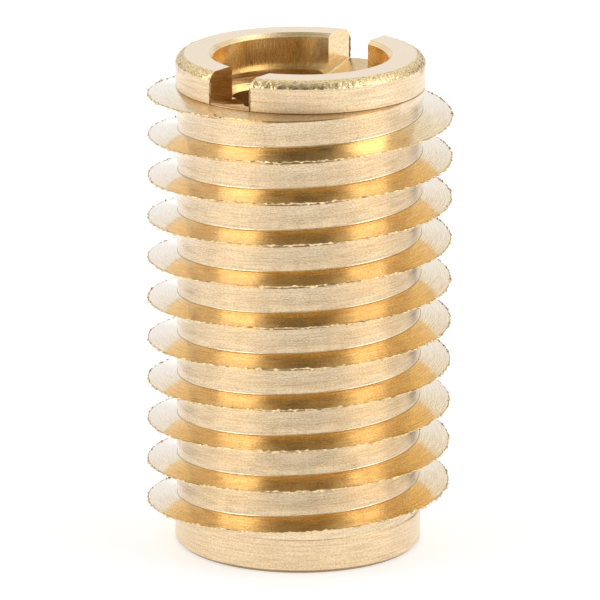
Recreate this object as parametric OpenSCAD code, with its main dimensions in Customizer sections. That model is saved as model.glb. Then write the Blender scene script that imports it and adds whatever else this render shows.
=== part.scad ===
// Threaded insert for wood: a turned brass sleeve with a thin, sharp knife
// thread outside, a tapped bore inside and a driver slot across its head.
// Millimetres, +Z up. The origin is the centre of the pilot's end face, and
// the head faces up.

/* [Body] */
// Length from the pilot's end face to the top of the head
body_length = 19; // [12:0.5:40]
// Diameter of the plain root between the turns of the thread
root_d = 9.3; // [8.6:0.02:9.34]

/* [Knife thread] */
// Diameter over the sharp crests
crest_d = 11.5; // [10:0.1:13]
// Rise of one turn of the right-hand thread (16 turns to the inch)
pitch = 1.5875; // [1.2:0.0125:3]
// Angle of each flank from the plane across the axis
flank_angle = 15; // [8:0.5:22]
// Width of the small flat left along the crest
crest_land = 0.04; // [0.02:0.01:0.2]
// Direction in which the crest meets the pilot's shoulder
thread_start = 107; // [0:1:359]
// Straight steps in each turn of the thread
steps_per_turn = 48; // [24:4:72]

/* [Head] */
// Diameter of the plain head
head_d = 9.38; // [9.36:0.02:9.8]
// Height of the head above the end of the thread
head_height = 1.25; // [1.25:0.05:3]
// Width of the bevel round the top of the head
head_bevel_w = 0.32; // [0.1:0.02:0.4]
// Depth of the bevel round the top of the head
head_bevel_h = 0.28; // [0.1:0.02:0.6]

/* [Driver slot] */
// Width of the slot
slot_w = 1.8; // [1:0.05:2.6]
// Depth of the slot where it breaks out of the head's side
slot_depth = 1.19; // [0.7:0.01:1.2]
// Direction of the slot from +X
slot_angle = 55.4; // [0:0.1:180]
// Diameter of the saw that plunges to make the slot's hollow floor
saw_d = 31.8; // [25:0.2:60]

/* [Pilot] */
// Diameter of the plain pilot that enters the drilled hole
pilot_d = 9.36; // [9.34:0.02:9.5]
// Height of the pilot below the end of the thread
pilot_height = 1.25; // [0.8:0.05:3]
// Bevel round the pilot's end
pilot_bevel = 0.11; // [0.05:0.01:0.6]

/* [Bore] */
// Minor diameter of the tapped bore (quarter inch, 20 turns to the inch)
bore_d = 5.16; // [4.6:0.02:5.6]
// Width of the countersink at the pilot's end of the bore
countersink_w = 0.45; // [0.1:0.05:1]
// Diameter of the plain counterbore in the head
counterbore_d = 6.6; // [6:0.1:7.6]
// Depth of the counterbore
counterbore_depth = 1.29; // [0.6:0.01:1.8]
// Bevel round the mouth of the counterbore
mouth_bevel = 0.15; // [0.05:0.01:0.3]

/* [Hidden] */
$fn = 96;

// Length by which the cutters run past the faces that they open
past = 1;
// Length by which the head and the pilot lap onto the threaded sleeve
lap = 0.05;

root_r = root_d / 2;
crest_r = crest_d / 2;
head_r = head_d / 2;
pilot_r = pilot_d / 2;
bore_r = bore_d / 2;
counterbore_r = counterbore_d / 2;
saw_r = saw_d / 2;

// The thread is cut off square at these two heights
thread_bottom = pilot_height;
thread_top = body_length - head_height;

// Half the thickness of the ridge at its crest and at its foot
half_land = crest_land / 2;
half_foot = half_land + (crest_r - root_r) * tan(flank_angle);

// Half the length of the slot's floor, at the side of the head
slot_reach = sqrt(head_r * head_r - slot_w * slot_w / 4);
// Height of the saw's centre, which puts the floor's ends at the slot's depth
saw_height = body_length - slot_depth + sqrt(saw_r * saw_r - slot_reach * slot_reach);

// The ridge's section from its lower foot to its upper foot, as [radius, rise]
SECTION = [
    [root_r, -half_foot],
    [crest_r, -half_land],
    [crest_r, half_land],
    [root_r, half_foot]
];

// The helix runs on past both ends of the thread, and is then cut to length
turns = ceil((thread_top - thread_bottom) / pitch) + 2;
last_step = turns * steps_per_turn;

// Point of the section at one corner and one step along the helix
function ridge_point(step, corner) =
    let (angle = thread_start + 360 * step / steps_per_turn)
    let (rise = thread_bottom + pitch * (step / steps_per_turn - 1))
    [
        SECTION[corner][0] * cos(angle),
        SECTION[corner][0] * sin(angle),
        rise + SECTION[corner][1]
    ];

// Index of that point in the list of points
function at(step, corner) = 4 * step + corner;

// A four-sided patch as two triangles
function patch(a, b, c, d) = [[a, b, c], [a, c, d]];

// The root and the helical ridge round it, as one closed solid
module sleeve_blank() {
    low_tip = 4 * (last_step + 1);
    high_tip = low_tip + 1;
    points = concat(
        [for (step = [0:last_step], corner = [0:3]) ridge_point(step, corner)],
        [
            [0, 0, thread_bottom - 2 * pitch],
            [0, 0, thread_bottom + pitch * (turns + 1)]
        ]
    );
    ridge = [
        for (step = [0:last_step - 1], corner = [0:2])
            each patch(
                at(step, corner),
                at(step, corner + 1),
                at(step + 1, corner + 1),
                at(step + 1, corner)
            )
    ];
    root = [
        for (step = [0:last_step - steps_per_turn - 1])
            each patch(
                at(step, 3),
                at(step + steps_per_turn, 0),
                at(step + steps_per_turn + 1, 0),
                at(step + 1, 3)
            )
    ];
    low_end = [
        for (step = [0:steps_per_turn - 1])
            [low_tip, at(step, 0), at(step + 1, 0)]
    ];
    high_end = [
        for (step = [last_step - steps_per_turn:last_step - 1])
            [high_tip, at(step + 1, 3), at(step, 3)]
    ];
    low_seam = concat(
        [for (corner = [0:2]) [low_tip, at(0, corner + 1), at(0, corner)]],
        [[low_tip, at(steps_per_turn, 0), at(0, 3)]]
    );
    high_seam = concat(
        [for (corner = [0:2]) [high_tip, at(last_step, corner), at(last_step, corner + 1)]],
        [[high_tip, at(last_step - steps_per_turn, 3), at(last_step, 0)]]
    );
    polyhedron(points, concat(ridge, root, low_end, high_end, low_seam, high_seam));
}

// The threaded length, with the ridge cut off square at both ends
module threaded_sleeve() {
    intersection() {
        sleeve_blank();
        translate([0, 0, thread_bottom])
            cylinder(h = thread_top - thread_bottom, r = crest_r + past);
    }
}

// The plain ring above the thread
module head() {
    rotate_extrude()
        polygon([
            [0, thread_top - lap],
            [head_r, thread_top - lap],
            [head_r, body_length - head_bevel_h],
            [head_r - head_bevel_w, body_length],
            [0, body_length]
        ]);
}

// The plain end below the thread
module pilot() {
    rotate_extrude()
        polygon([
            [0, 0],
            [pilot_r - pilot_bevel, 0],
            [pilot_r, pilot_bevel],
            [pilot_r, thread_bottom + lap],
            [0, thread_bottom + lap]
        ]);
}

// The tapped bore at its minor diameter, countersunk at the pilot's end
module bore() {
    translate([0, 0, -past])
        cylinder(h = body_length + 2 * past, r = bore_r);
    translate([0, 0, -past])
        cylinder(h = countersink_w + past, r1 = bore_r + countersink_w + past, r2 = bore_r);
}

// The counterbore in the head, with a bevel at its mouth
module counterbore() {
    translate([0, 0, body_length - counterbore_depth])
        cylinder(h = counterbore_depth + past, r = counterbore_r);
    translate([0, 0, body_length - mouth_bevel])
        cylinder(h = mouth_bevel + past, r1 = counterbore_r, r2 = counterbore_r + mouth_bevel + past);
}

// The disc of the slotting saw, standing on edge at its deepest
module slot() {
    rotate([0, 0, slot_angle])
        translate([0, 0, saw_height])
            rotate([90, 0, 0])
                cylinder(h = slot_w, r = saw_r, center = true);
}

module insert() {
    color([0.86, 0.69, 0.42])
        difference() {
            union() {
                threaded_sleeve();
                head();
                pilot();
            }
            bore();
            counterbore();
            slot();
        }
}

insert();
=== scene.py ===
import math

import bmesh
import bpy
import numpy as np
from mathutils import Matrix, Vector


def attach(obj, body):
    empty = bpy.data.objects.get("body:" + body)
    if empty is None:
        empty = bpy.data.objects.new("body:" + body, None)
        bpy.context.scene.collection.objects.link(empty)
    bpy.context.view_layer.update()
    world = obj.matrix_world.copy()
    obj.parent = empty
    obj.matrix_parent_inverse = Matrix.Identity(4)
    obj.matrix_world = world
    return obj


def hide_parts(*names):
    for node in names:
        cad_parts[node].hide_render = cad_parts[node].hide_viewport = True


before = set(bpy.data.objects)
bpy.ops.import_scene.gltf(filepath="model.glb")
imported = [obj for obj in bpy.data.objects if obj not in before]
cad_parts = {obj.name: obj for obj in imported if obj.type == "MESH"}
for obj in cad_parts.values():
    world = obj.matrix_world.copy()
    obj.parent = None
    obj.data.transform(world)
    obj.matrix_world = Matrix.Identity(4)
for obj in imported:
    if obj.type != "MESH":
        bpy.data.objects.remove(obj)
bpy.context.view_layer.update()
mm = 0.001

print("frame loaded")

# the turned blank, in millimetres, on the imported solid's sizes apart from its fine marks; the
# cutting tools stand out of the metal by past, and the plain ones have cutterSegments sides
blank = {
    "length": 19.0,
    "headRadius": 4.69,
    "headHeight": 1.25,
    "headBevelWidth": 0.32,
    "headBevelHeight": 0.28,
    "headBevelBulge": 0.03,
    "bevelParts": 6,
    "bevelRoughness": 0.010,
    "scribedLines": (
        (17.785, 0.03, 0.05, "rim"),
        (18.15, 0.005, 0.04, "side"),
        (18.42, 0.005, 0.04, "side"),
    ),  # height, depth, width and the finish inside; the rim finish in the deep line is painted shade in its groove
    "pilotRadius": 4.68,
    "pilotHeight": 1.25,
    "pilotBevel": 0.13,
    "boreRadius": 2.58,
    "countersink": 0.45,
    "counterboreRadius": 3.3,
    "counterboreDepth": 1.29,
    "mouthBevel": 0.15,
    "lap": 0.05,
    "past": 1.0,
    "segments": 480,
    "cutterSegments": 48,
    "sharpAngle": 30.0,
    "seed": 5,
}

threadBottom = blank["pilotHeight"]
threadTop = blank["length"] - blank["headHeight"]
ledgeHeight = blank["length"] - blank["counterboreDepth"]

finishNames = [
    "root", "flank", "under", "crest", "rim", "side", "face", "bevel", "shoulder",
    "ledge", "bore", "tap", "wall", "floor", "painted_shade",
]
finishes = {name: bpy.data.materials.new("brass_" + name) for name in finishNames}


def meshObject(name, points, faces, finishOf, marks):
    # points come in millimetres; marks are the tool's path along and across at each face corner
    mesh = bpy.data.meshes.new(name)
    mesh.from_pydata([(x * mm, y * mm, z * mm) for x, y, z in points], [], faces)
    for finish in finishNames:
        mesh.materials.append(finishes[finish])
    mesh.polygons.foreach_set("material_index", [finishNames.index(f) for f in finishOf])
    layer = mesh.uv_layers.new(name="toolMarks")
    layer.data.foreach_set("uv", [value for corner in marks for value in corner])
    mesh.update()
    obj = bpy.data.objects.new(name, mesh)
    bpy.context.scene.collection.objects.link(obj)
    return obj


def runAcross(profile):
    lengths = [0.0]
    for (r0, z0), (r1, z1) in zip(profile, profile[1:]):
        lengths.append(lengths[-1] + math.hypot(r1 - r0, z1 - z0))
    return lengths


def helixSolid(name, section, rowFinishes, pitch, startAngle, startHeight, turns, steps, wobble=None):
    # section runs up one pitch as (radius, rise); its last point joins the next turn's first
    rows = len(section)
    lastStep = turns * steps
    points = []
    for step in range(lastStep + 1):
        angle = math.radians(startAngle + 360.0 * step / steps)
        rise = startHeight + pitch * step / steps
        for row, (radius, lift) in enumerate(section):
            if wobble is not None:
                dr, dz = wobble(row, step)
                radius, lift = radius + dr, lift + dz
            points.append((radius * math.cos(angle), radius * math.sin(angle), rise + lift))
    at = lambda step, row: rows * step + row
    across = runAcross(section + [(section[0][0], section[0][1] + pitch)])
    travel = math.radians(360.0 / steps) * sum(p[0] for p in section) / rows
    faces, finishOf, marks = [], [], []
    for step in range(lastStep):
        for row in range(rows):
            if row < rows - 1:
                far, near = at(step, row + 1), at(step + 1, row + 1)
            elif step + steps < lastStep:
                far, near = at(step + steps, 0), at(step + steps + 1, 0)
            else:
                continue
            faces.append((at(step, row), at(step + 1, row), near, far))
            finishOf.append(rowFinishes[row])
            a, b, low, high = travel * step, travel * (step + 1), across[row], across[row + 1]
            marks += [(a, low), (b, low), (b, high), (a, high)]
    lowTip = len(points)
    highTip = lowTip + 1
    points.append((0, 0, startHeight - 2 * pitch))
    points.append((0, 0, startHeight + pitch * (turns + 2)))
    caps = []
    for step in range(steps):
        caps.append((lowTip, at(step + 1, 0), at(step, 0)))
    for step in range(lastStep - steps, lastStep):
        caps.append((highTip, at(step, rows - 1), at(step + 1, rows - 1)))
    for row in range(rows - 1):
        caps.append((lowTip, at(0, row), at(0, row + 1)))
        caps.append((highTip, at(lastStep, row + 1), at(lastStep, row)))
    caps.append((lowTip, at(0, rows - 1), at(steps, 0)))
    caps.append((highTip, at(lastStep, 0), at(lastStep - steps, rows - 1)))
    faces += caps
    finishOf += ["face"] * len(caps)
    marks += [(0, 0)] * (3 * len(caps))
    return meshObject(name, points, faces, finishOf, marks)


def turnedSolid(name, profile, stretches, segments, wobble=None):
    # a closed solid; the profile starts and ends on the axis, with one finish for each stretch of it
    ring = profile[1:-1]
    points = [(0, 0, profile[0][1])]
    for row, (radius, height) in enumerate(ring):
        for i in range(segments):
            angle = 2 * math.pi * i / segments
            dr, dz = wobble(row, i) if wobble is not None else (0.0, 0.0)
            out = radius + dr
            points.append((out * math.cos(angle), out * math.sin(angle), height + dz))
    points.append((0, 0, profile[-1][1]))
    top = len(points) - 1
    at = lambda row, i: 1 + row * segments + i % segments
    across = runAcross(profile)
    travel = 2 * math.pi / segments * max(p[0] for p in profile)
    faces, finishOf, marks = [], [], []
    for i in range(segments):
        a, b = travel * i, travel * (i + 1)
        faces.append((0, at(0, i + 1), at(0, i)))
        marks += [(a, across[0]), (b, across[1]), (a, across[1])]
        for row in range(len(ring) - 1):
            faces.append((at(row, i), at(row, i + 1), at(row + 1, i + 1), at(row + 1, i)))
            low, high = across[row + 1], across[row + 2]
            marks += [(a, low), (b, low), (b, high), (a, high)]
        faces.append((top, at(len(ring) - 1, i), at(len(ring) - 1, i + 1)))
        marks += [(a, across[-1]), (a, across[-2]), (b, across[-2])]
        finishOf += stretches
    return meshObject(name, points, faces, finishOf, marks)


def combine(target, tool, operation):
    modifier = target.modifiers.new("cut", "BOOLEAN")
    modifier.operation = operation
    modifier.object = tool
    modifier.solver = "MANIFOLD"
    bpy.context.view_layer.update()
    evaluated = target.evaluated_get(bpy.context.evaluated_depsgraph_get())
    result = bpy.data.meshes.new_from_object(evaluated)
    target.modifiers.clear()
    old = target.data
    target.data = result
    bpy.data.meshes.remove(old)
    bpy.data.objects.remove(tool)
    print(operation.lower(), len(result.vertices), "points", len(result.polygons), "faces")


def roundCorner(corner, before, after, radius, parts):
    # points of the arc that rounds a corner between its two neighbours
    c, a, b = Vector(corner), Vector(before), Vector(after)
    u, v = (a - c).normalized(), (b - c).normalized()
    half = u.angle(v) / 2
    centre = c + (u + v).normalized() * (radius / math.sin(half))
    start = c + u * (radius / math.tan(half)) - centre
    end = c + v * (radius / math.tan(half)) - centre
    turn = math.atan2(start.x * end.y - start.y * end.x, start.dot(end))
    return [tuple(centre + Matrix.Rotation(turn * i / parts, 2) @ start) for i in range(parts + 1)]


# the knife thread outside: lengths in millimetres, angles in degrees; burrShare and nickShare are
# the shares of its steps with a burr or a nick, and a random height is cut off at each Most
knife = {
    "crestRadius": 5.75,
    "rootTopRadius": 4.68,
    "rootBendRadius": 4.635,
    "rootBendShare": 0.4,
    "rootFootRadius": 4.575,
    "pitch": 1.5875,
    "upperFlankAngle": 12.0,
    "lowerFlankAngle": 17.0,
    "crestLand": 0.02,
    "startAngle": 107.0,
    "stepsPerTurn": 396,
    "upperFillet": 0.06,
    "lowerFillet": 0.06,
    "upperFilletParts": 3,
    "lowerFilletParts": 2,
    "lipWidth": 0.045,
    "lipHeight": 0.016,
    "lipInset": 0.014,
    "lipChange": 0.022,
    "lipMean": 0.7,
    "lipMost": 2.5,
    "uprightFrom": -0.3,
    "burrShare": 0.5,
    "burrHeight": 0.03,
    "burrMost": 0.04,
    "burrLean": 0.010,
    "burrDrop": 0.035,
    "dropMost": 2.0,
    "dropLag": 7,
    "burrReach": 0.12,
    "nickDepth": 0.06,
    "nickShare": 0.12,
    "waverDepth": 0.02,
    "waverSteps": 24,
    "seed": 11,
}


def knifeSection():
    # the groove is a little narrower round at its foot than at its top
    crest, pitch = knife["crestRadius"], knife["pitch"]
    rootTop, rootFoot = knife["rootTopRadius"], knife["rootFootRadius"]
    upSlope = math.tan(math.radians(knife["upperFlankAngle"]))
    downSlope = math.tan(math.radians(knife["lowerFlankAngle"]))
    halfLand = knife["crestLand"] / 2
    upperParts, lowerParts = knife["upperFilletParts"], knife["lowerFilletParts"]
    low = -halfLand - (crest - rootTop) * downSlope
    high = halfLand + (crest - rootFoot) * upSlope
    lowCrest, highCrest = (crest, -halfLand), (crest, 0.0)
    lipTop = (crest - knife["lipInset"], halfLand + knife["lipHeight"])
    lipFoot = (crest - knife["lipWidth"], halfLand + knife["lipWidth"] * upSlope)
    lower = roundCorner(
        (rootTop, low), (rootFoot, high - pitch), lowCrest, knife["lowerFillet"], lowerParts,
    )
    bend = (knife["rootBendRadius"], high + knife["rootBendShare"] * (low + pitch - high))
    upper = roundCorner(
        (rootFoot, high), lipFoot, (rootTop, low + pitch), knife["upperFillet"], upperParts,
    )
    # a row on each flank keeps the burrs close to the crest
    keep = knife["burrReach"]
    underRow = (crest - keep, -halfLand - keep * downSlope)
    flankRow = (crest - keep, halfLand + keep * upSlope)
    section = lower + [underRow, lowCrest, highCrest, lipTop, lipFoot, flankRow] + upper + [bend]
    # a painted dark line of shade on the first step of the fillet at the foot of the flank
    # the rim row on the lip just above the crest is painted shade, a dark outline along the crest
    edge = ["under", "under", "crest", "crest", "rim", "flank", "flank"]
    rowFinishes = ["root"] * lowerParts + edge + ["painted_shade"] + ["root"] * (upperParts + 1)
    return section, rowFinishes


def knifeWobble(section, turns):
    # burrs, nicks and a slight waver along the sharp crest
    rng = np.random.default_rng(knife["seed"])
    count = turns * knife["stepsPerTurn"] + 1
    evenly = np.ones(knife["waverSteps"]) / knife["waverSteps"]
    waver = np.convolve(rng.normal(0, 1, count), evenly, "same")
    burr = rng.exponential(1.0, (2, count)) * (rng.random((2, count)) < knife["burrShare"])
    lean = rng.normal(0, 1, count)
    nick = np.where(rng.random(count) < knife["nickShare"], rng.random(count), 0)
    inner = knife["crestRadius"] - knife["lipWidth"] - 1e-6
    edgeRows = [row for row, point in enumerate(section) if point[0] > inner]
    upSlope = math.tan(math.radians(knife["upperFlankAngle"]))

    # places among those rows, from the crest's lower edge up; most lips stand upright, flush with it
    lowEdge, lipTop, lipFoot = 0, 2, 3

    def wobble(row, step):
        if row not in edgeRows:
            return 0.0, 0.0
        place = edgeRows.index(row)
        shift = knife["waverDepth"] * waver[step] - knife["nickDepth"] * nick[step]
        if place == lipFoot:
            return shift, -shift * upSlope
        rise = knife["burrHeight"] * (burr[0][step] - knife["burrShare"])
        out = min(shift + rise, knife["burrMost"])
        if place == lipTop:
            upright = knife["lipInset"] if lean[step] > knife["uprightFrom"] else 0.0
            lift = min(burr[1][step], knife["lipMost"]) - knife["lipMean"]
            return out + upright, knife["lipChange"] * lift
        drop = 0.0
        if place == lowEdge:
            drop = knife["burrDrop"] * min(burr[1][step - knife["dropLag"]], knife["dropMost"])
        return out, knife["burrLean"] * lean[step] - drop

    return wobble


def knifeThread():
    section, rowFinishes = knifeSection()
    turns = math.ceil((threadTop - threadBottom) / knife["pitch"]) + 2
    thread = helixSolid(
        "insert_body", section, rowFinishes, knife["pitch"], knife["startAngle"],
        threadBottom - knife["pitch"], turns, knife["stepsPerTurn"], knifeWobble(section, turns),
    )
    reach = knife["crestRadius"] + blank["past"]
    slab = turnedSolid(
        "slab", [(0, threadBottom), (reach, threadBottom), (reach, threadTop), (0, threadTop)],
        ["face", "side", "shoulder"], blank["cutterSegments"],
    )
    combine(thread, slab, "INTERSECT")
    return thread


def head():
    length, radius, base = blank["length"], blank["headRadius"], threadTop - blank["lap"]
    width, height, bulge = blank["headBevelWidth"], blank["headBevelHeight"], blank["headBevelBulge"]
    profile, stretches = [(0, base), (radius, base)], ["face"]
    for level, depth, wide, finish in blank["scribedLines"]:
        profile += [(radius, level - wide / 2), (radius - depth, level), (radius, level + wide / 2)]
        stretches += ["side", finish, finish]
    bevelRows = range(len(profile) - 1, len(profile) + blank["bevelParts"])
    for part in range(blank["bevelParts"] + 1):
        share = part / blank["bevelParts"]
        out = bulge * 4 * share * (1 - share)  # nothing at both ends, all of the bulge half way
        profile.append((radius - width * share + out, length - height * (1 - share) + out))
    profile.append((0, length))
    stretches += ["side"] + ["bevel"] * blank["bevelParts"] + ["face"]
    rng = np.random.default_rng(blank["seed"])
    rough = rng.normal(0, blank["bevelRoughness"], (len(bevelRows), blank["segments"], 2))

    def wobble(row, i):
        return tuple(rough[row - bevelRows[0]][i]) if row in bevelRows[:-1] else (0.0, 0.0)

    return turnedSolid("head", profile, stretches, blank["segments"], wobble)


def pilot():
    radius, bevel, top = blank["pilotRadius"], blank["pilotBevel"], threadBottom + blank["lap"]
    # the bottom bevel is painted dark: a painted contact shadow where the pilot stands on the floor
    return turnedSolid("pilot", [
        (0, 0), (radius - bevel, 0), (radius, bevel), (radius, top), (0, top),
    ], ["face", "painted_shade", "side", "face"], blank["segments"])


def boreTool():
    # the bore, the counterbore and the bevels at both their mouths, as one cutting tool
    radius, mouth, past = blank["boreRadius"], blank["counterboreRadius"], blank["past"]
    length, sink, bevel = blank["length"], blank["countersink"], blank["mouthBevel"]
    return turnedSolid("bore", [
        (0, -past), (radius + sink + past, -past),
        (radius, sink), (radius, ledgeHeight), (mouth, ledgeHeight), (mouth, length - bevel),
        (mouth + bevel + past, length + past), (0, length + past),
    ], ["face", "ledge", "bore", "ledge", "bore", "ledge", "face"], blank["segments"])


# the tapped thread inside; the three limits are the cylinder that its helix is cut off to
tapped = {
    "majorRadius": 3.175,
    "minorRadius": 2.58,
    "minorRelief": 0.002,
    "pitch": 1.27,
    "startAngle": 17.0,
    "stepsPerTurn": 144,
    "rootLand": 0.16,
    "crestLand": 0.42,
    "limitRadius": 4.0,
    "limitBelow": 0.5,
    "limitAbove": 0.3,
}


def tapTool():
    halfCrest, halfRoot = tapped["crestLand"] / 2, tapped["rootLand"] / 2
    minor, major = tapped["minorRadius"] - tapped["minorRelief"], tapped["majorRadius"]
    pitch = tapped["pitch"]
    section = [
        (minor, -pitch / 2 + halfCrest), (major, -halfRoot),
        (major, halfRoot), (minor, pitch / 2 - halfCrest),
    ]
    turns = math.ceil(blank["length"] / pitch) + 3
    tap = helixSolid(
        "tap", section, ["tap", "tap", "tap", "bore"], pitch, tapped["startAngle"], -1.5 * pitch,
        turns, tapped["stepsPerTurn"],
    )
    reach, low, high = tapped["limitRadius"], -tapped["limitBelow"], ledgeHeight + tapped["limitAbove"]
    limit = turnedSolid(
        "limit", [(0, low), (reach, low), (reach, high), (0, high)],
        ["face", "side", "face"], blank["cutterSegments"],
    )
    combine(tap, limit, "INTERSECT")
    return tap


# the slot sawn across the head, and the burrs up its outer edges; angle is in degrees
slot = {
    "width": 1.8,
    "edgeDepth": 1.19,
    "angle": 55.4,
    "sawRadius": 15.9,
    "sawSegments": 720,
    "floorFillet": 0.07,
    "floorFilletParts": 3,
    "burr": (0.025, 0.045, 0.03, 0.05, 0.04, 0.03, 0.045, 0.02),
    "burrTop": 0.33,
    "burrSunk": 0.02,
    "burrSides": 4,
}


def slotReach():
    # how far from the axis the slot's side walls come out of the head
    return math.sqrt(blank["headRadius"] ** 2 - slot["width"] ** 2 / 4)


def sawTool():
    saw, half = slot["sawRadius"], slot["width"] / 2
    fillet, parts = slot["floorFillet"], slot["floorFilletParts"]
    centre = blank["length"] - slot["edgeDepth"] + math.sqrt(saw ** 2 - slotReach() ** 2)
    low = roundCorner((saw, -half), (0, -half), (saw, half), fillet, parts)
    high = roundCorner((saw, half), (saw, -half), (0, half), fillet, parts)
    rim = ["wall"] + ["floor"] * (len(low) + len(high) - 1) + ["wall"]
    tool = turnedSolid("saw", [(0, -half)] + low + high + [(0, half)], rim, slot["sawSegments"])
    turn = Matrix.Rotation(math.radians(slot["angle"]), 4, "Z")
    raised = Matrix.Translation((0, 0, centre * mm))
    onEdge = Matrix.Rotation(math.radians(90), 4, "X")
    tool.data.transform(turn @ raised @ onEdge)
    return tool


def slotBurr(end, side):
    # a fine uneven burr up one outer edge of the slot, painted dark as painted shade on its shaded side
    low = blank["length"] - slot["edgeDepth"] - slot["burrSunk"]
    high = blank["length"] - slot["burrTop"]
    step = (high - low) / (len(slot["burr"]) - 1)
    sizes = [(size, low + step * i) for i, size in enumerate(slot["burr"])]
    profile = [(0, low)] + sizes + [(0, high)]
    burr = turnedSolid("slot_burr", profile, ["painted_shade"] * (len(profile) - 1), slot["burrSides"])
    corner = Matrix.Translation((end * slotReach() * mm, side * slot["width"] / 2 * mm, 0))
    burr.data.transform(Matrix.Rotation(math.radians(slot["angle"]), 4, "Z") @ corner)
    return burr


def dropCrumbs(obj):
    # the cuts along the thread leave a few loose crumbs of metal behind
    work = bmesh.new()
    work.from_mesh(obj.data)
    parts, seen = [], set()
    for start in work.verts:
        if start in seen:
            continue
        seen.add(start)
        part, ahead = [], [start]
        while ahead:
            point = ahead.pop()
            part.append(point)
            for edge in point.link_edges:
                other = edge.other_vert(point)
                if other not in seen:
                    seen.add(other)
                    ahead.append(other)
        parts.append(part)
    parts.sort(key=len)
    for part in parts[:-1]:
        bmesh.ops.delete(work, geom=part, context="VERTS")
    work.to_mesh(obj.data)
    work.free()
    print("crumbs dropped", len(parts) - 1)


def sharpenBetweenFinishes(obj):
    # finishes meet at a crisp edge, apart from the fillets at the foot of the knife thread
    rounded = [
        {finishNames.index(one), finishNames.index(other)}
        for one, other in (("root", "under"), ("root", "painted_shade"), ("painted_shade", "flank"))
    ]
    work = bmesh.new()
    work.from_mesh(obj.data)
    for edge in work.edges:
        kinds = {face.material_index for face in edge.link_faces}
        if len(kinds) > 1 and kinds not in rounded:
            edge.smooth = False
    work.to_mesh(obj.data)
    work.free()


# the piece: thread, head and pilot joined, then bored, tapped and slotted
insert = knifeThread()
combine(insert, head(), "UNION")
combine(insert, pilot(), "UNION")
combine(insert, boreTool(), "DIFFERENCE")
combine(insert, tapTool(), "DIFFERENCE")
combine(insert, sawTool(), "DIFFERENCE")
for end, side in ((1, 1), (1, -1), (-1, 1), (-1, -1)):
    combine(insert, slotBurr(end, side), "UNION")
dropCrumbs(insert)
insert.data.shade_smooth()
insert.data.set_sharp_from_angle(angle=math.radians(blank["sharpAngle"]))
sharpenBetweenFinishes(insert)
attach(insert, "root")
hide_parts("insert")
print("insert", len(insert.data.polygons), "faces")


# how each part of the surface is finished: marks and grain are the length and height of the tool's
# marks and of the grain in millimetres, spread is how far the tone strays, specks is the share of
# stain mixed in, edge is the share of painted pale sheen mixed in at a grazing slant, and depths are in
# millimetres
looks = {
    "root": {
        "colour": (0.86, 0.68, 0.445), "roughness": 0.27, "brushed": 0.3, "coat": 1.0,
        "spread": 0.21, "specks": 0.22,
        "marks": (1.2, 0.07), "grain": (0.085, 0.05), "markDepth": 0.0020, "grainDepth": 0.0032,
    },
    "flank": {
        "colour": (0.84, 0.61, 0.29), "roughness": 0.11, "brushed": 0.5, "coat": 0.25,
        "spread": 0.34, "specks": 0.3, "edge": 0.6,
        "marks": (1.0, 0.045), "grain": (0.09, 0.045), "markDepth": 0.0016, "grainDepth": 0.0018,
    },
    "under": {
        "colour": (0.84, 0.60, 0.28), "roughness": 0.20, "brushed": 0.7, "coat": 0.3,
        "spread": 0.09, "specks": 0.25,
        "marks": (1.4, 0.05), "grain": (0.10, 0.05), "markDepth": 0.0008, "grainDepth": 0.0010,
    },
    "crest": {
        "colour": (0.84, 0.64, 0.36), "roughness": 0.20, "brushed": 0.0, "coat": 0.0,
        "spread": 0.20, "specks": 0.3,
        "marks": (0.10, 0.03), "grain": (0.05, 0.03), "markDepth": 0.0010, "grainDepth": 0.0020,
    },
    # painted shade: a dark tone for the lip above the crest and for the deep scribed line
    "rim": {
        "colour": (0.50, 0.37, 0.20), "roughness": 0.40, "brushed": 0.0, "coat": 0.0,
        "spread": 0.25, "specks": 0.4,
        "marks": (0.10, 0.03), "grain": (0.05, 0.03), "markDepth": 0.0010, "grainDepth": 0.0010,
    },
    "face": {
        "colour": (0.88, 0.70, 0.48), "roughness": 0.2, "brushed": 0.0, "coat": 0.3,
        "spread": 0.05, "specks": 0.0,
        "marks": (1.6, 0.05), "grain": (0.12, 0.06), "markDepth": 0.0006, "grainDepth": 0.0010,
    },
    "shoulder": {
        "colour": (0.84, 0.62, 0.34), "roughness": 0.50, "brushed": 0.0, "coat": 0.3,
        "spread": 0.25, "specks": 0.5,
        "marks": (0.16, 0.10), "grain": (0.08, 0.06), "markDepth": 0.006, "grainDepth": 0.006,
    },
    "bevel": {
        "colour": (0.92, 0.67, 0.37), "roughness": 0.24, "brushed": 0.0, "coat": 0.0,
        "spread": 0.32, "specks": 0.6,
        "marks": (0.14, 0.08), "grain": (0.07, 0.05), "markDepth": 0.006, "grainDepth": 0.008,
    },
    "bore": {
        "colour": (0.96, 0.74, 0.405), "roughness": 0.22, "brushed": 0.5, "coat": 0.3,
        "spread": 0.16, "specks": 0.12,
        "marks": (0.07, 0.35), "grain": (0.08, 0.05), "markDepth": 0.0022, "grainDepth": 0.0018,
    },
    "wall": {
        "colour": (0.88, 0.68, 0.40), "roughness": 0.16, "brushed": 0.0, "coat": 0.3,
        "spread": 0.10, "specks": 0.3,
        "marks": (1.2, 0.08), "grain": (0.12, 0.06), "markDepth": 0.0010, "grainDepth": 0.0010,
    },
}
# the others are like one of these, apart from what is named here
looks["side"] = dict(looks["root"], colour=(0.855, 0.655, 0.405), roughness=0.36)
# painted shade: the dark line at the foot of the flank, the pilot's bottom bevel and the slot burrs
looks["painted_shade"] = dict(looks["root"], colour=(0.42, 0.29, 0.14), coat=0.0)
looks["floor"] = dict(looks["wall"], colour=(0.73, 0.54, 0.30), roughness=0.26)
looks["ledge"] = dict(
    looks["bore"], colour=(0.90, 0.68, 0.37), marks=(2.0, 0.06), grain=(0.10, 0.05), markDepth=0.010,
)
looks["tap"] = dict(
    looks["bore"], colour=(0.90, 0.72, 0.45), coat=0.7, marks=(1.6, 0.07), markDepth=0.014,
)

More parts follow.
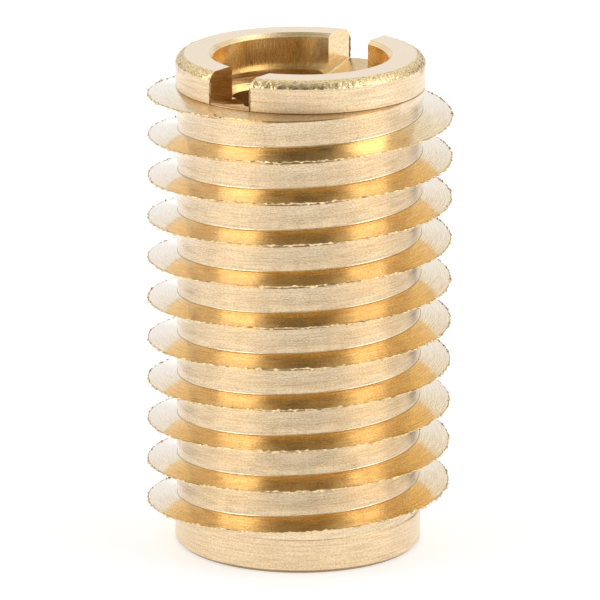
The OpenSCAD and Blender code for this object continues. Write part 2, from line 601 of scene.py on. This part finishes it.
# what all the finishes share: warmth is how far red, green and blue stray with the tone, and the
# ranges are the stretches of noise or of slant over which a tone comes in
brass = {
    "darkWarmth": (1.0, 1.15, 1.4),
    "lightWarmth": (0.7, 0.8, 1.0),
    "toneRange": (0.7, 1.3),
    "stain": (0.62, 0.52, 0.38),
    "stainRange": (0.60, 0.72),
    # the painted pale sheen at a grazing slant, and the stretch of slant over which it comes in
    "paintedSheen": (1.0, 0.945, 0.92),
    "sheenRange": (0.55, 0.80),
    "patchSize": (3.0, 0.8),
    "patchShare": 0.8,
    "roughRange": (0.6, 1.2),
    "roughSpread": (0.8, 1.25),
}
# each noise starts at its own place, so that none repeats another
noises = {
    "lines": {"detail": 2.0, "start": (3.1, 5.27, 0)},
    "grain": {"detail": 1.0, "start": (11.7, 19.89, 0)},
    "patches": {"detail": 2.0, "start": (23.9, 40.63, 0)},
    "specks": {"detail": 0.0, "start": (41.3, 70.21, 0)},
}


def noiseAlong(tree, marks, kind, size):
    # noise drawn out along the tool's path
    stretch = tree.nodes.new("ShaderNodeMapping")
    stretch.inputs["Scale"].default_value = (1 / size[0], 1 / size[1], 1)
    stretch.inputs["Location"].default_value = noises[kind]["start"]
    noise = tree.nodes.new("ShaderNodeTexNoise")
    noise.noise_dimensions = "2D"
    noise.inputs["Scale"].default_value = 1.0
    noise.inputs["Detail"].default_value = noises[kind]["detail"]
    tree.links.new(marks.outputs["UV"], stretch.inputs["Vector"])
    tree.links.new(stretch.outputs["Vector"], noise.inputs["Vector"])
    return noise.outputs["Fac"]


def mapped(tree, value, given, wanted):
    # carries one range of the value over to another
    spread = tree.nodes.new("ShaderNodeMapRange")
    for socket, number in zip(("From Min", "From Max", "To Min", "To Max"), (*given, *wanted)):
        spread.inputs[socket].default_value = number
    tree.links.new(value, spread.inputs["Value"])
    return spread.outputs["Result"]


def added(tree, one, other, share):
    # one plus the other's share of it
    total = tree.nodes.new("ShaderNodeMath")
    total.operation = "MULTIPLY_ADD"
    total.inputs[1].default_value = share
    tree.links.new(other, total.inputs[0])
    tree.links.new(one, total.inputs[2])
    return total.outputs["Value"]


def multiplied(tree, one, other):
    # either may be a plain number
    product = tree.nodes.new("ShaderNodeMath")
    product.operation = "MULTIPLY"
    for socket, value in zip(product.inputs, (one, other)):
        if isinstance(value, float):
            socket.default_value = value
        else:
            tree.links.new(value, socket)
    return product.outputs["Value"]


def mixedColour(tree, factor, first, second):
    # either may be a plain colour
    blend = tree.nodes.new("ShaderNodeMix")
    blend.data_type = "RGBA"
    tree.links.new(factor, blend.inputs["Factor"])
    for socket, colour in ((blend.inputs[6], first), (blend.inputs[7], second)):
        if isinstance(colour, tuple):
            socket.default_value = colour + (1,)
        else:
            tree.links.new(colour, socket)
    return blend.outputs[2]


def turnedBrass(name, look):
    material = finishes[name]
    material.use_nodes = True
    tree = material.node_tree
    shader = tree.nodes["Principled BSDF"]
    marks = tree.nodes.new("ShaderNodeUVMap")
    marks.uv_map = "toolMarks"
    lines = noiseAlong(tree, marks, "lines", look["marks"])
    grain = noiseAlong(tree, marks, "grain", look["grain"])
    patches = noiseAlong(tree, marks, "patches", brass["patchSize"])
    specks = noiseAlong(tree, marks, "specks", look["grain"])

    base, spread = look["colour"], look["spread"]
    dark = tuple(c * (1 - spread * k) for c, k in zip(base, brass["darkWarmth"]))
    light = tuple(min(1.0, c * (1 + spread * k)) for c, k in zip(base, brass["lightWarmth"]))
    stain = tuple(c * k for c, k in zip(base, brass["stain"]))
    tone = mapped(tree, added(tree, lines, grain, 1.0), brass["toneRange"], (0.0, 1.0))
    stained = mapped(tree, specks, brass["stainRange"], (0.0, look["specks"]))
    colour = mixedColour(tree, stained, mixedColour(tree, tone, dark, light), stain)
    # painted sheen: the finish is mixed toward a pale colour where it is seen at a grazing slant, standing
    # in for the reflection of the white surroundings
    if "edge" in look:
        facing = tree.nodes.new("ShaderNodeLayerWeight")
        facing.inputs["Blend"].default_value = 0.5
        grazing = mapped(tree, facing.outputs["Facing"], brass["sheenRange"], (0.0, look["edge"]))
        colour = mixedColour(tree, grazing, colour, brass["paintedSheen"])
    tree.links.new(colour, shader.inputs["Base Color"])

    smooth, dull = (look["roughness"] * share for share in brass["roughSpread"])
    uneven = added(tree, lines, patches, brass["patchShare"])
    rough = mapped(tree, uneven, brass["roughRange"], (smooth, dull))
    tree.links.new(rough, shader.inputs["Roughness"])
    relief = tree.nodes.new("ShaderNodeBump")
    relief.inputs["Strength"].default_value = 1.0
    relief.inputs["Distance"].default_value = look["markDepth"] * mm
    height = added(tree, lines, grain, look["grainDepth"] / look["markDepth"])
    tree.links.new(height, relief.inputs["Height"])
    tree.links.new(relief.outputs["Normal"], shader.inputs["Normal"])
    tree.links.new(relief.outputs["Normal"], shader.inputs["Coat Normal"])

    shader.inputs["Metallic"].default_value = 1.0
    shader.inputs["Coat Weight"].default_value = look["coat"]
    shader.inputs["Coat Roughness"].default_value = look["roughness"]
    shader.inputs["Anisotropic"].default_value = look["brushed"]
    shader.inputs["Anisotropic Rotation"].default_value = 0.25  # a quarter turn
    if look["brushed"]:
        tangent = tree.nodes.new("ShaderNodeTangent")
        tangent.direction_type = "RADIAL"  # brushed round the axis, as it was turned
        tangent.axis = "Z"
        tree.links.new(tangent.outputs["Tangent"], shader.inputs["Tangent"])


for name in finishNames:
    turnedBrass(name, looks[name])
print("brass finished")

# a long lens from the front, a little above; angles in degrees, distances in metres
view = {
    "elevation": 15.522,
    "distance": 0.252727,
    "aim": (0.0000334, 0, 0.0093856),
    "roll": 0.3464,
    "lens": 400.14,
    "sensor": 36,
    "near": 0.01,
}
cameraData = bpy.data.cameras.new("camera")
cameraData.lens = view["lens"]
cameraData.sensor_width = view["sensor"]
cameraData.clip_start = view["near"]
camera = bpy.data.objects.new("camera", cameraData)
bpy.context.scene.collection.objects.link(camera)
tilt, roll = math.radians(view["elevation"]), math.radians(view["roll"])
back = Vector((0, -math.cos(tilt), math.sin(tilt)))
level, upright = Vector((1, 0, 0)), Vector((0, math.sin(tilt), math.cos(tilt)))
right = level * math.cos(roll) + upright * math.sin(roll)
up = upright * math.cos(roll) - level * math.sin(roll)
place = Matrix.Translation(Vector(view["aim"]) + back * view["distance"])
camera.matrix_world = place @ Matrix((right, up, back)).transposed().to_4x4()
bpy.context.scene.camera = camera

# the white room: a floor that glows a little, a dome of light and two tall soft boxes
studio = {
    "floorReach": 8,
    "floorGlow": 0.55,
    "floorColour": 0.6,
    "dome": 0.95,
    "shadeBorder": (0.78, 1.22),
    "stripDistance": 0.6,
    "bounces": 16,
    "glossyBounces": 12,
}
# each soft box is in two halves: turn and height in degrees, size in metres
strips = [
    {"turn": 71.0, "height": 34.0, "size": (0.38, 0.25), "glow": 2.1},
    {"turn": 71.0, "height": 11.0, "size": (0.38, 0.22), "glow": 0.58},
    {"turn": -67.0, "height": 34.0, "size": (0.40, 0.25), "glow": 2.1},
    {"turn": -67.0, "height": 11.0, "size": (0.40, 0.22), "glow": 0.62},
]
# the darker and brighter parts of the dome, as directions and half sizes in degrees, with the
# share of the light that comes from there; turn 0 is the front
shades = [
    {"turn": 0.0, "height": 33.0, "halfWidth": 33.0, "halfHeight": 27.0, "share": 0.15},
    {"turn": 0.0, "height": 72.0, "halfWidth": 33.0, "halfHeight": 22.0, "share": 0.50},
    {"turn": 98.0, "height": 54.0, "halfWidth": 22.0, "halfHeight": 14.0, "share": 1.5},
    {"turn": -98.0, "height": 54.0, "halfWidth": 22.0, "halfHeight": 14.0, "share": 1.4},
    {"turn": 137.0, "height": 13.0, "halfWidth": 9.0, "halfHeight": 8.0, "share": 0.25},
    {"turn": -130.0, "height": 3.0, "halfWidth": 14.0, "halfHeight": 12.0, "share": 0.5},
]
far = studio["floorReach"]
floorMesh = bpy.data.meshes.new("floor")
floorMesh.from_pydata([(-far, -far, 0), (far, -far, 0), (far, far, 0), (-far, far, 0)], [], [(0, 1, 2, 3)])
floor = bpy.data.objects.new("floor", floorMesh)
bpy.context.scene.collection.objects.link(floor)
white = bpy.data.materials.new("floor_white")
white.use_nodes = True
floorShader = white.node_tree.nodes["Principled BSDF"]
floorShader.inputs["Base Color"].default_value = (studio["floorColour"],) * 3 + (1,)
floorShader.inputs["Roughness"].default_value = 1.0
floorShader.inputs["Specular IOR Level"].default_value = 0.0
floorShader.inputs["Emission Color"].default_value = (1, 1, 1, 1)
floorShader.inputs["Emission Strength"].default_value = studio["floorGlow"]
floorMesh.materials.append(white)


def shadeFactor(tree, direction, shade):
    # 1 outside an oval patch of the dome and the shade's share of the light inside it
    turn, height = math.radians(shade["turn"]), math.radians(shade["height"])
    around, zenith = Vector((math.sin(turn), -math.cos(turn), 0)), Vector((0, 0, 1))
    centre = around * math.cos(height) + zenith * math.sin(height)
    upward = zenith * math.cos(height) - around * math.sin(height)
    sideways = centre.cross(upward)
    axes = [
        sideways / math.sin(math.radians(shade["halfWidth"])),
        upward / math.sin(math.radians(shade["halfHeight"])),
    ]
    offset = tree.nodes.new("ShaderNodeCombineXYZ")
    for socket, axis in zip(("X", "Y"), axes):
        along = tree.nodes.new("ShaderNodeVectorMath")
        along.operation = "DOT_PRODUCT"
        along.inputs[1].default_value = axis
        tree.links.new(direction, along.inputs[0])
        tree.links.new(along.outputs["Value"], offset.inputs[socket])
    toward = tree.nodes.new("ShaderNodeVectorMath")
    toward.operation = "DOT_PRODUCT"
    toward.inputs[1].default_value = centre
    tree.links.new(direction, toward.inputs[0])
    # the oval on the far side of the dome is pushed well away, so that only the near one counts
    behind = mapped(tree, toward.outputs["Value"], (0.0, 0.1), (9.0, 0.0))
    tree.links.new(behind, offset.inputs["Z"])
    distance = tree.nodes.new("ShaderNodeVectorMath")
    distance.operation = "LENGTH"
    tree.links.new(offset.outputs["Vector"], distance.inputs[0])
    return mapped(tree, distance.outputs["Value"], studio["shadeBorder"], (shade["share"], 1.0))


def buildDome():
    # a white dome, dimmed or lifted by each shade in turn
    world = bpy.data.worlds.new("studio_dome")
    bpy.context.scene.world = world
    world.use_nodes = True
    tree = world.node_tree
    direction = tree.nodes.new("ShaderNodeTexCoord").outputs["Generated"]
    glow = studio["dome"]
    for shade in shades:
        glow = multiplied(tree, shadeFactor(tree, direction, shade), glow)
    tree.links.new(glow, tree.nodes["Background"].inputs["Strength"])
    tree.nodes["Background"].inputs["Color"].default_value = (1, 1, 1, 1)


def stripLight(name, strip):
    light = bpy.data.lights.new(name, "AREA")
    light.shape = "RECTANGLE"
    light.size, light.size_y = strip["size"]
    light.energy = strip["glow"] * math.pi * light.size * light.size_y
    panel = bpy.data.objects.new(name, light)
    bpy.context.scene.collection.objects.link(panel)
    around, above = math.radians(strip["turn"] - 90), math.radians(strip["height"])
    level = math.cos(above)
    toward = Vector((math.cos(around) * level, math.sin(around) * level, math.sin(above)))
    panel.location = toward * studio["stripDistance"]
    panel.rotation_euler = toward.to_track_quat("Z", "Y").to_euler()


buildDome()
for number, strip in enumerate(strips):
    stripLight("strip_%d" % number, strip)
print("studio lit")

scene = bpy.context.scene
scene.view_settings.view_transform = "Standard"
scene.cycles.max_bounces = studio["bounces"]
scene.cycles.glossy_bounces = studio["glossyBounces"]
